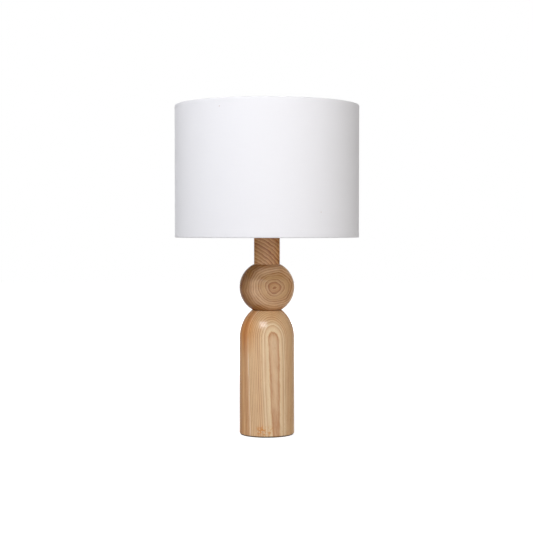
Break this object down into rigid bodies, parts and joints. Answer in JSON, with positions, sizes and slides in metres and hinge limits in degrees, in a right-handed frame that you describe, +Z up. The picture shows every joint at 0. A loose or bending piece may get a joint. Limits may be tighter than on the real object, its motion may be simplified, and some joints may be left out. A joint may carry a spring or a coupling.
{
  "type": "table lamp",
  "caption": "Table lamp: stacked turned wooden column, ball and neck on a lamp pipe, with a white drum shade held by a wire harp and spider.",
  "frame": {"origin": "centre of the felt foot on the table, on the lamp's axis", "axes": "+Z up along the lamp's axis, -Y to the front with the switch knob, +Y to the cord outlet and the shade's seam, +X to the right seen from the front"},
  "size_m": [0.3556, 0.3556, 0.635],
  "materials": {
    "felt": "dense brown-black felt",
    "column_wood": "turned pale pine, clear satin lacquer",
    "ball_wood": "turned pine, end grain to the front, clear satin lacquer",
    "neck_wood": "turned pine, clear satin lacquer",
    "zinc_steel": "zinc plated",
    "ballast_iron": "as cast, oiled",
    "moulded_black": "moulded, satin",
    "brass": "satin lacquered",
    "socket_card": "vulcanised fibre sleeve",
    "phenolic": "moulded phenolic",
    "contact_metal": "bright stamped",
    "opal_glass": "opal, frosted inside",
    "bulb_aluminium": "rolled",
    "black_glass": "glossy black glass",
    "harp_nickel": "nickel plated wire",
    "shade_linen": "fine off-white linen weave",
    "shade_sheet": "white styrene sheet, matt",
    "white_wire": "white powder coat"
  },
  "bodies": {
    "base": {"felt_pad": "felt", "base_column": "column_wood", "ball": "ball_wood", "neck_column": "neck_wood", "cord_bushing": "moulded_black", "lamp_pipe": "zinc_steel", "ballast_disc": "ballast_iron", "bottom_washer": "zinc_steel", "bottom_lock_washer": "zinc_steel", "bottom_nut": "zinc_steel", "neck_cap": "brass", "top_nut": "zinc_steel", "harp_saddle": "zinc_steel", "socket_cap": "brass", "cap_set_screw": "zinc_steel", "socket_shell": "brass", "socket_liner": "socket_card", "socket_body": "phenolic", "screw_shell": "contact_metal", "centre_contact": "contact_metal", "live_terminal_screw": "contact_metal", "neutral_terminal_screw": "contact_metal"},
    "switch": {"switch_shaft": "contact_metal", "switch_rotor": "phenolic", "switch_knob": "moulded_black"},
    "bulb": {"bulb_globe": "opal_glass", "bulb_screw_cap": "bulb_aluminium", "bulb_insulator": "black_glass", "bulb_tip_contact": "bulb_aluminium"},
    "harp": {"harp_wire": "harp_nickel", "harp_block": "harp_nickel"},
    "left_ferrule": {"left_ferrule": "harp_nickel"},
    "right_ferrule": {"right_ferrule": "harp_nickel"},
    "stud": {"harp_stud": "harp_nickel"},
    "shade": {"shade_fabric": "shade_linen", "shade_liner": "shade_sheet", "top_ring": "white_wire", "bottom_ring": "white_wire", "top_hem": "shade_linen", "bottom_hem": "shade_linen", "back_seam": "shade_linen", "spider_hub": "white_wire", "spider_arm_back": "white_wire", "spider_arm_left": "white_wire", "spider_arm_right": "white_wire"},
    "finial": {"finial": "brass"}
  },
  "joints": [
    {"name": "switch_turn", "type": "hinge", "parent": "base", "child": "switch", "pos_m": [0, -0.0235, 0.4185], "axis": [0, -1, 0], "continuous": true},
    {"name": "bulb_unscrew", "type": "slide", "parent": "base", "child": "bulb", "axis": [0, 0, 1], "range_m": [0, 0.03]},
    {"name": "harp_release", "type": "slide", "parent": "base", "child": "harp", "axis": [0, 0, 1], "range_m": [0, 0.16]},
    {"name": "left_ferrule_slide", "type": "slide", "parent": "harp", "child": "left_ferrule", "axis": [0, 0, 1], "range_m": [0, 0.012]},
    {"name": "right_ferrule_slide", "type": "slide", "parent": "harp", "child": "right_ferrule", "axis": [0, 0, 1], "range_m": [0, 0.012]},
    {"name": "shade_turn", "type": "hinge", "parent": "harp", "child": "stud", "pos_m": [0, 0, 0.6135], "axis": [0, 0, 1], "continuous": true},
    {"name": "shade_lift", "type": "slide", "parent": "stud", "child": "shade", "axis": [0, 0, 1], "range_m": [0, 0.26]},
    {"name": "finial_unscrew", "type": "slide", "parent": "shade", "child": "finial", "axis": [0, 0, 1], "range_m": [0, 0.03]}
  ]
}
